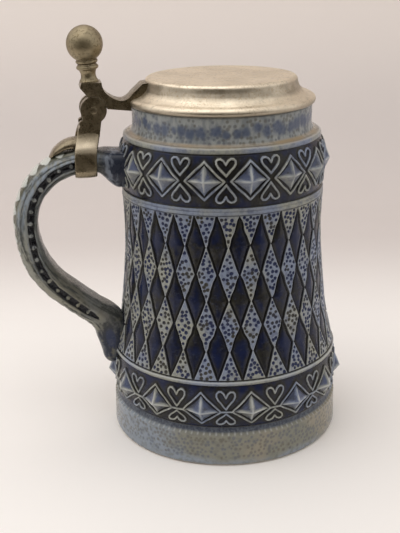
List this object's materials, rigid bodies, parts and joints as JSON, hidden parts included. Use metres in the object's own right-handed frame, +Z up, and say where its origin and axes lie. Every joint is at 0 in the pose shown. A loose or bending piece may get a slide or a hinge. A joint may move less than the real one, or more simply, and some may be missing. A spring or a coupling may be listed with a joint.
{
  "type": "lidded beer stein",
  "caption": "Stoneware beer stein with a hinged pewter lid, ball thumblift and one loop handle.",
  "frame": {"origin": "on the mug's own axis, at the plane it stands on", "axes": "+Z up along the mug's axis, handle towards -X, hinge pin along Y"},
  "size_m": [0.1414, 0.1024, 0.1803],
  "materials": {
    "glazed_stoneware": "salt-glazed blue-grey, satin to glossy",
    "pewter": "dull warm grey cast pewter, satin",
    "pin_steel": "drawn steel wire"
  },
  "bodies": {
    "stein": {"stoneware_body": "glazed_stoneware", "stoneware_handle": "glazed_stoneware", "hinge_strap": "pewter", "hinge_tang": "pewter", "hinge_block": "pewter", "hinge_pin": "pin_steel", "pin_plug_near": "pewter", "pin_plug_far": "pewter"},
    "lid": {"lid_shell": "pewter", "lid_flange": "pewter", "lid_arm": "pewter", "thumblift": "pewter"}
  },
  "joints": [
    {"name": "lid_hinge", "type": "hinge", "parent": "stein", "child": "lid", "pos_m": [-0.0546, 0, 0.1462], "axis": [0, -1, 0], "range_deg": [0, 100]}
  ]
}
